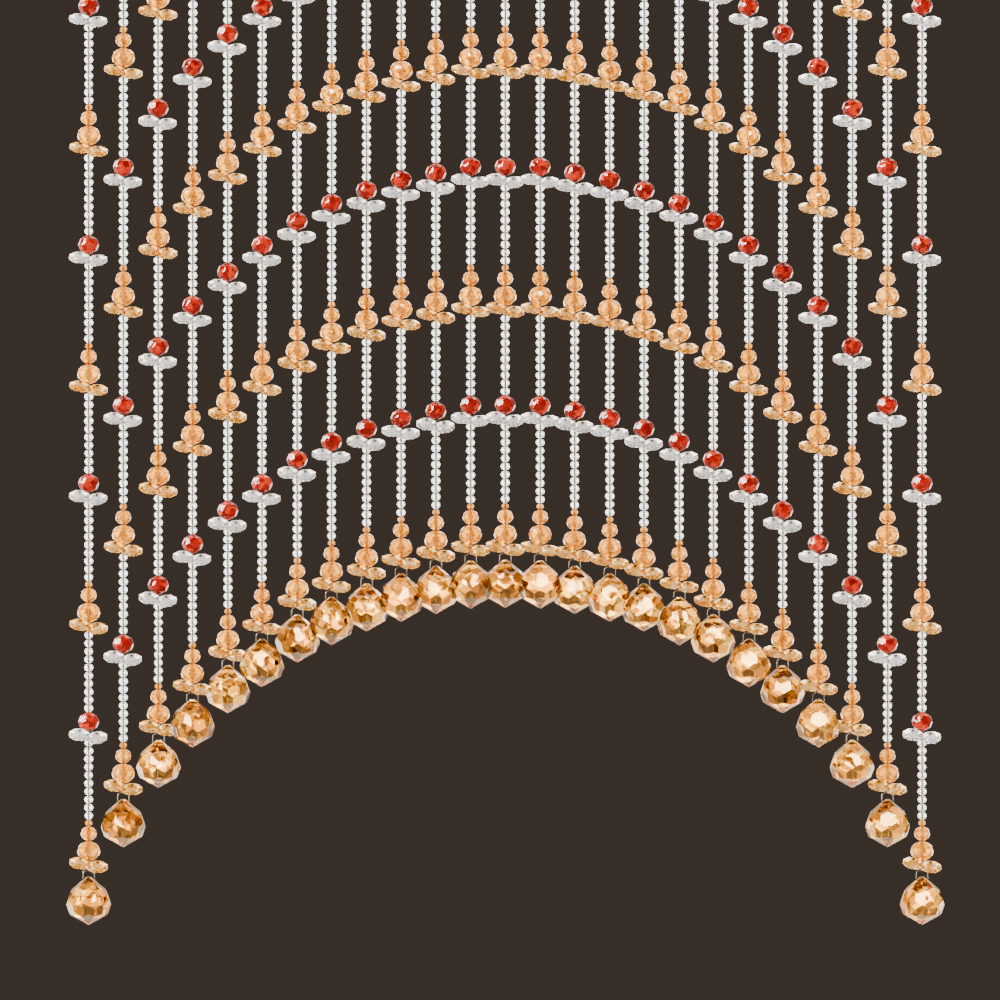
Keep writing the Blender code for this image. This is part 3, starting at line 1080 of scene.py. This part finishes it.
def sewing_stitch():
    """One stitch of the seam, seen from -Y, with both ends drawn down into the cloth on its +Y side."""
    bpy.ops.object.select_all(action="DESELECT")
    bpy.ops.mesh.primitive_cube_add(size=1)
    stitch = bpy.context.object
    resize(stitch, STITCH_SIZE)
    edit(stitch)
    for end in (-1, 1):
        pick_faces(stitch, lambda face: face.normal.x * end > 0.9)
        bpy.ops.mesh.extrude_region_move(
            TRANSFORM_OT_translate={"value": (STITCH_END * end, STITCH_DIP, 0)}
        )
        bpy.ops.transform.resize(value=(1, 0.8, 0.7))
    bpy.ops.mesh.select_all(action="SELECT")
    bpy.ops.mesh.bevel(offset=STITCH_EDGE, segments=1, affect="EDGES")
    bpy.ops.object.mode_set(mode="OBJECT")
    return stitch


class CURTAIN_OT_tape(bpy.types.Operator):
    """Makes the folded ribbon that the threads are sewn into, and its seam"""

    bl_idname = "curtain.tape"
    bl_label = "Tape"

    def execute(self, context):
        sizes = context.scene.curtain_sizes
        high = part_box("tape_and_strings")[1].z
        reach = (STRING_COUNT - 1) / 2 * STRING_PITCH + TAPE_MARGIN
        fold = TAPE_HALF_THICKNESS - CLOTH / 2
        leaf = sizes.tape_height - fold - CLOTH / 2
        path = 2 * leaf + math.pi * fold
        bpy.ops.object.select_all(action="DESELECT")
        bpy.ops.mesh.primitive_grid_add(x_subdivisions=200, y_subdivisions=26, size=1)
        tape = context.object
        tape.name = "folded_tape"
        chance = random.Random(SEED)
        phases = [chance.uniform(0, 2 * math.pi) for _ in range(4)]
        for vertex in tape.data.vertices:
            along = vertex.co.x * 2 * reach
            run = vertex.co.y * path
            wave = sum(
                math.sin(along / TAPE_WAVE * times + phase) / times
                for times, phase in enumerate(phases, start=1)
            )
            turn = max(-0.5, min(0.5, run / (math.pi * fold))) * math.pi
            down = max(0.0, abs(run) - math.pi * fold / 2)
            loose = TAPE_LOOSENESS * wave * down / leaf
            vertex.co = (
                along,
                math.sin(turn) * fold + (loose if run > 0 else 0.6 * loose) * 0.8,
                high - CLOTH / 2 - fold + math.cos(turn) * fold - down,
            )
        select_only(tape)
        thicken = tape.modifiers.new("cloth", "SOLIDIFY")
        thicken.thickness = CLOTH
        thicken.offset = 0
        bpy.ops.object.modifier_apply(modifier=thicken.name)
        bpy.ops.object.shade_smooth_by_angle(angle=math.radians(60))
        finish_piece(tape, "tape", "strings", "tape_and_strings")

        seam_height = high - sizes.tape_height + SEAM_UP
        count = int(2 * reach / STITCH_PITCH) - 1
        places = []
        for side in (-1, 1):
            turn = Matrix.Rotation(math.pi / 2 * (1 + side), 4, "Z")
            for number in range(count):
                along = (number - (count - 1) / 2) * STITCH_PITCH
                place = Matrix.Translation((along, side * (fold + CLOTH / 2), seam_height))
                places.append(place @ turn)
        seam = lay_out(sewing_stitch(), "tape_seam", places)
        select_only(seam)
        bpy.ops.object.shade_smooth()
        finish_piece(seam, "stitch", "strings")
        return {"FINISHED"}


# Stage

CAMERA_DISTANCE = 8.0
PHOTO_PIXELS = 1000
PIXEL = 0.9 * MM
CURTAIN_MIDDLE_PIXEL = 505.3
PHOTO_TOP_BELOW_TAPE = 34.4 * MM
SENSOR_WIDTH = 36
FLOOR_SIZE = 7
FLOOR_DROP = 2.03


def make_camera():
    """A long lens at the photo's own angle, level with the middle of the picture."""
    scene = bpy.context.scene
    width = PHOTO_PIXELS * PIXEL
    across = (PHOTO_PIXELS / 2 - CURTAIN_MIDDLE_PIXEL) * PIXEL
    top = -scene.curtain_sizes.tape_height - PHOTO_TOP_BELOW_TAPE
    bpy.ops.object.camera_add(
        location=(across, -CAMERA_DISTANCE, top - width / 2), rotation=(math.pi / 2, 0, 0)
    )
    camera = bpy.context.object
    camera.data.sensor_width = SENSOR_WIDTH
    camera.data.lens = SENSOR_WIDTH * CAMERA_DISTANCE / width
    camera.data.clip_end = 100
    scene.camera = camera


# Where round the studio, from 0 to 1, each light level starts. It runs from the left by the front, the right
# and the back: narrow dim panels before the curtain, broad bright ones behind
PanelEdge = namedtuple("PanelEdge", "around level")
PANEL_EDGES = (
    PanelEdge(0.0, 0.03),
    PanelEdge(0.06, 0.12),
    PanelEdge(0.12, 0.03),
    PanelEdge(0.2, 0.1),
    PanelEdge(0.3, 0.03),
    PanelEdge(0.38, 0.12),
    PanelEdge(0.44, 0.03),
    PanelEdge(0.54, 1.0),
    PanelEdge(0.6, 0.25),
    PanelEdge(0.64, 1.0),
    PanelEdge(0.722, 0.12),
    PanelEdge(0.778, 1.0),
    PanelEdge(0.86, 0.25),
    PanelEdge(0.9, 1.0),
    PanelEdge(0.96, 0.03),
)
PANEL_TINT = (1.0, 0.955, 0.88)

# The studio's light from its floor, at 0, to its ceiling, at 1. Warm light comes up from a wooden floor and
# down from the lamps, with a dark band between
Level = namedtuple("Level", "height rgb")
LEVELS = (
    Level(0.0, (1.0, 0.78, 0.48)),
    Level(0.22, (0.8, 0.64, 0.42)),
    Level(0.4, (1.0, 0.95, 0.88)),
    Level(0.6, (1.0, 0.98, 0.95)),
    Level(0.66, (0.32, 0.28, 0.22)),
    Level(0.78, (0.32, 0.28, 0.22)),
    Level(0.86, (1.0, 0.92, 0.8)),
)
STUDIO_STRENGTH = 8.0

# A small lamp of the studio: its direction, its half width in degrees, and its strength
Lamp = namedtuple("Lamp", "towards half_width_deg strength")
LAMPS = (
    Lamp((-0.82, -0.2, 0.53), 6.5, 300),
    Lamp((0.06, -0.77, 0.64), 6, 150),
    Lamp((0.82, 0.43, -0.36), 7, 40),
    Lamp((-0.3, 0.75, -0.59), 9, 16),
)
# The share of a lamp's half width that has its full strength
LAMP_CORE = 0.7
LAMP_TINT = (1.0, 0.98, 0.96)


def make_world():
    """A studio of bright panels with dark gaps, seen in the glass, and a dim wall, seen by the camera."""
    world = bpy.data.worlds.new("studio")
    bpy.context.scene.world = world
    world.use_nodes = True
    tree = world.node_tree
    tree.nodes.clear()
    place = add_node(tree, "ShaderNodeTexCoord")
    around = add_node(
        tree,
        "ShaderNodeTexGradient",
        {"gradient_type": "RADIAL"},
        {"Vector": place.outputs["Generated"]},
    )
    panels = add_node(tree, "ShaderNodeValToRGB", inputs={"Fac": around.outputs["Fac"]})
    panels.color_ramp.interpolation = "CONSTANT"
    set_ramp(panels, [(edge.around, scaled(PANEL_TINT, edge.level)) for edge in PANEL_EDGES])
    parts = add_node(tree, "ShaderNodeSeparateXYZ", inputs={"Vector": place.outputs["Generated"]})
    lift = add_node(
        tree,
        "ShaderNodeMapRange",
        inputs={"Value": parts.outputs["Z"], "From Min": -1.0, "From Max": 1.0},
    )
    heights = add_node(tree, "ShaderNodeValToRGB", inputs={"Fac": lift.outputs["Result"]})
    set_ramp(heights, LEVELS)
    seen = add_node(
        tree,
        "ShaderNodeMix",
        {"data_type": "RGBA", "blend_type": "MULTIPLY"},
        {"Factor": 1.0, "A": panels.outputs["Color"], "B": heights.outputs["Color"]},
    )
    total = None
    for lamp in LAMPS:
        towards = add_node(
            tree,
            "ShaderNodeVectorMath",
            {"operation": "DOT_PRODUCT"},
            {0: place.outputs["Generated"], 1: Vector(lamp.towards).normalized()},
        )
        glow = add_node(
            tree,
            "ShaderNodeMapRange",
            {"interpolation_type": "SMOOTHSTEP"},
            {
                "Value": towards.outputs["Value"],
                "From Min": math.cos(math.radians(lamp.half_width_deg)),
                "From Max": math.cos(math.radians(LAMP_CORE * lamp.half_width_deg)),
                "To Max": lamp.strength,
            },
        )
        if total is None:
            total = glow.outputs["Result"]
        else:
            added = add_node(tree, "ShaderNodeMath", inputs={0: total, 1: glow.outputs["Result"]})
            total = added.outputs["Value"]
    room = add_node(
        tree,
        "ShaderNodeBackground",
        inputs={"Color": seen.outputs["Result"], "Strength": STUDIO_STRENGTH},
    )
    sparkle = add_node(
        tree,
        "ShaderNodeBackground",
        inputs={"Color": (*LAMP_TINT, 1.0), "Strength": total},
    )
    lit = add_node(
        tree,
        "ShaderNodeAddShader",
        inputs={0: room.outputs["Background"], 1: sparkle.outputs["Background"]},
    )
    wall = add_node(
        tree,
        "ShaderNodeBackground",
        inputs={"Color": (*linear("#3E352F"), 1.0), "Strength": 1.0},
    )
    path = add_node(tree, "ShaderNodeLightPath")
    both = add_node(
        tree,
        "ShaderNodeMixShader",
        inputs={
            0: path.outputs["Is Camera Ray"],
            1: lit.outputs["Shader"],
            2: wall.outputs["Background"],
        },
    )
    add_node(tree, "ShaderNodeOutputWorld", inputs={"Surface": both.outputs["Shader"]})


Softbox = namedtuple("Softbox", "name place size power")
SOFTBOXES = (
    Softbox("key_softbox", (-1.6, -2.6, 1.0), 1.4, 60),
    Softbox("fill_softbox", (2.2, -2.2, 0.2), 1.2, 25),
    Softbox("rim_softbox", (0.6, 2.4, 1.2), 1.2, 40),
)
SOFTBOXES_AIM = Vector((0, 0, -0.45))


class CURTAIN_OT_stage(bpy.types.Operator):
    """Makes the floor, the camera, the lights and the studio around"""

    bl_idname = "curtain.stage"
    bl_label = "Stage"

    def execute(self, context):
        make_camera()
        make_world()
        bpy.ops.object.select_all(action="DESELECT")
        bpy.ops.mesh.primitive_plane_add(size=FLOOR_SIZE, location=(0, 0, -FLOOR_DROP))
        floor = context.object
        floor.name = "floor"
        rgb = tuple(context.scene.curtain_colours.floor)
        paint = plain_material("painted_floor", {"Base Color": (*rgb, 1.0), "Roughness": 0.7})[0]
        floor.data.materials.append(paint)
        for softbox in SOFTBOXES:
            bpy.ops.object.light_add(type="AREA", location=softbox.place)
            light = context.object
            light.name = softbox.name
            light.data.size = softbox.size
            light.data.energy = softbox.power
            aim = SOFTBOXES_AIM - light.location
            light.rotation_euler = aim.to_track_quat("-Z", "Y").to_euler()
        return {"FINISHED"}


class CURTAIN_PT_panel(bpy.types.Panel):
    """Lists the sizes, colours and steps of the curtain"""

    bl_idname = "CURTAIN_PT_panel"
    bl_label = "Bead Curtain"
    bl_space_type = "VIEW_3D"
    bl_region_type = "UI"
    bl_category = "Bead Curtain"

    def draw(self, context):
        for group in (context.scene.curtain_sizes, context.scene.curtain_colours):
            box = self.layout.box()
            for name in group.__annotations__:
                box.prop(group, name)
        for step in STEPS:
            self.layout.operator(step.bl_idname)


STEPS = (
    CURTAIN_OT_threads,
    CURTAIN_OT_clear_beads,
    CURTAIN_OT_amber_beads,
    CURTAIN_OT_red_beads,
    CURTAIN_OT_discs,
    CURTAIN_OT_rings,
    CURTAIN_OT_balls,
    CURTAIN_OT_tape,
    CURTAIN_OT_stage,
)
CLASSES = (CurtainSizes, CurtainColours, *STEPS, CURTAIN_PT_panel)


def register():
    for made in CLASSES:
        bpy.utils.register_class(made)
    bpy.types.Scene.curtain_sizes = bpy.props.PointerProperty(type=CurtainSizes)
    bpy.types.Scene.curtain_colours = bpy.props.PointerProperty(type=CurtainColours)


def unregister():
    del bpy.types.Scene.curtain_colours
    del bpy.types.Scene.curtain_sizes
    for made in reversed(CLASSES):
        bpy.utils.unregister_class(made)


def main():
    register()
    MATERIALS.update(make_materials(bpy.context.scene.curtain_colours))
    bpy.ops.curtain.threads()
    bpy.ops.curtain.clear_beads()
    bpy.ops.curtain.amber_beads()
    bpy.ops.curtain.red_beads()
    bpy.ops.curtain.discs()
    bpy.ops.curtain.rings()
    bpy.ops.curtain.balls()
    bpy.ops.curtain.tape()
    bpy.ops.curtain.stage()


if __name__ == "__main__":
    main()
